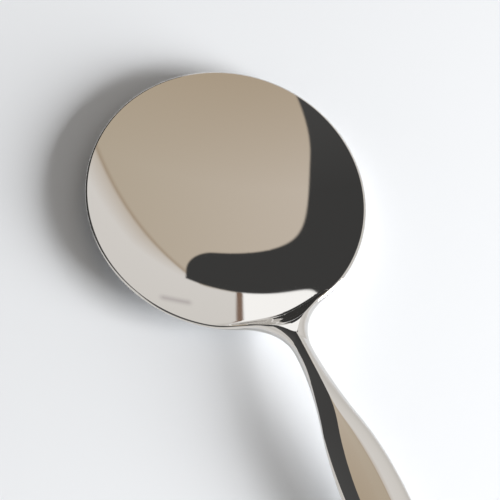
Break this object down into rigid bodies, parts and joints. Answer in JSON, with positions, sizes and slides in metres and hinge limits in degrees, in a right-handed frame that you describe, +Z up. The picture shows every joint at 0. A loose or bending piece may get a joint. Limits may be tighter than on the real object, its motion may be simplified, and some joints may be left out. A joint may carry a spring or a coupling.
{
  "type": "risotto spoon",
  "caption": "Serving spoon with a wide, shallow oval bowl, a narrow neck and a flared, arched handle, in mirror-polished stainless steel.",
  "frame": {"origin": "on the table, below the middle of the spoon's length and width", "axes": "+X from the handle towards the tip of the bowl, +Z up out of the bowl, +Y across the spoon"},
  "size_m": [0.255, 0.08, 0.0153],
  "materials": {
    "bowl": "mirror-polished stainless steel",
    "neck": "mirror-polished stainless steel",
    "handle": "mirror-polished stainless steel"
  },
  "bodies": {
    "root": {"bowl": "bowl", "neck": "neck", "handle": "handle"}
  },
  "joints": []
}
